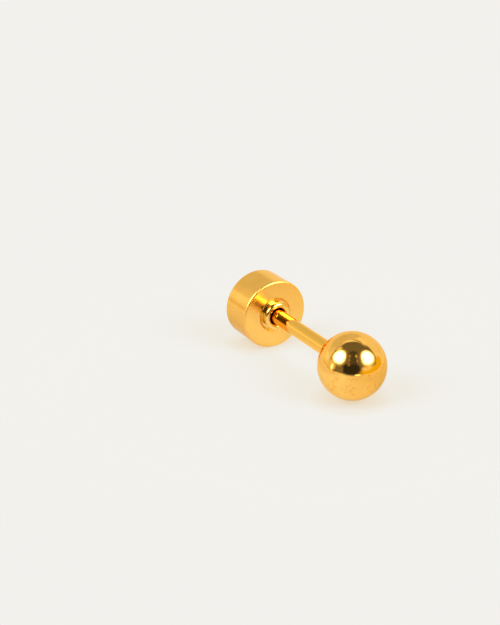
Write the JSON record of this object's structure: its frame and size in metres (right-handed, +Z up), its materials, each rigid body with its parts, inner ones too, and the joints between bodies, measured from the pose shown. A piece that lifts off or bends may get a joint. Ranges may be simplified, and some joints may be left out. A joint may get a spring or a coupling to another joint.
{
  "type": "ball stud earring",
  "caption": "Stud earring with a polished ball on a plain post and a drum-shaped screw back, whose rounded collar stands out of a countersunk recess.",
  "frame": {"origin": "on the surface that the stud rests on, below the centre of its box", "axes": "+Z up, the post along Y with the ball at -Y and the screw back at +Y, rising 1.36 degrees towards the back, +X to one side"},
  "size_m": [0.0044, 0.0126, 0.0044],
  "materials": {
    "ball_gold": "gold-coloured, mirror polished",
    "drum_gold": "gold-coloured, polished, with faint turning marks",
    "collar_gold": "gold-coloured, polished, a deeper yellow"
  },
  "bodies": {
    "stud": {"ball_post": "ball_gold"},
    "back": {"back_drum": "drum_gold", "threaded_collar": "collar_gold"}
  },
  "joints": [
    {"name": "screw_off", "type": "slide", "parent": "stud", "child": "back", "axis": [0, 0.9997, 0.0237], "range_m": [0, 0.0019]}
  ]
}
